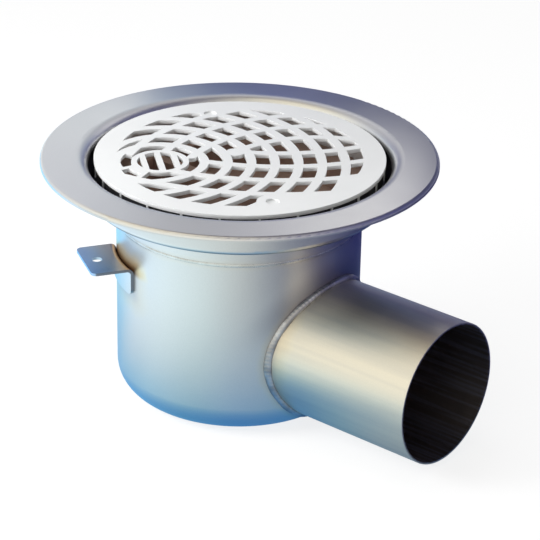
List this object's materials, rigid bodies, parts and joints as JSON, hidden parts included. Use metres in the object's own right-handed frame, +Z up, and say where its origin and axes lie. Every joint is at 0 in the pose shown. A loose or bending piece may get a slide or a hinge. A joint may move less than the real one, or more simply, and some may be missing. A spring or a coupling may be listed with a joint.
{
  "type": "floor gully",
  "caption": "Round stainless floor gully with a wide flange, a side outlet pipe, fixing lugs, a white swirl grating and a lift-out water trap.",
  "frame": {"origin": "centre of the bowl's flat underside", "axes": "+Z up through the middle of the grating, +X along the outlet pipe away from the bowl"},
  "size_m": [0.2414, 0.2068, 0.1321],
  "materials": {
    "steel": "pickled and bead-blasted, satin",
    "weld": "weld bead with heat tint",
    "grating_plastic": "white moulded plastic, satin",
    "trap_plastic": "brown moulded plastic",
    "seal_rubber": "black rubber"
  },
  "bodies": {
    "root": {"bowl": "steel", "top_frame": "steel", "frame_weld": "weld", "outlet_pipe": "steel", "outlet_weld": "weld", "fixing_lug_near": "steel", "fixing_lug_far": "steel", "grating": "grating_plastic", "trap_funnel": "trap_plastic", "trap_seal": "seal_rubber", "trap_cup": "trap_plastic"}
  },
  "joints": []
}
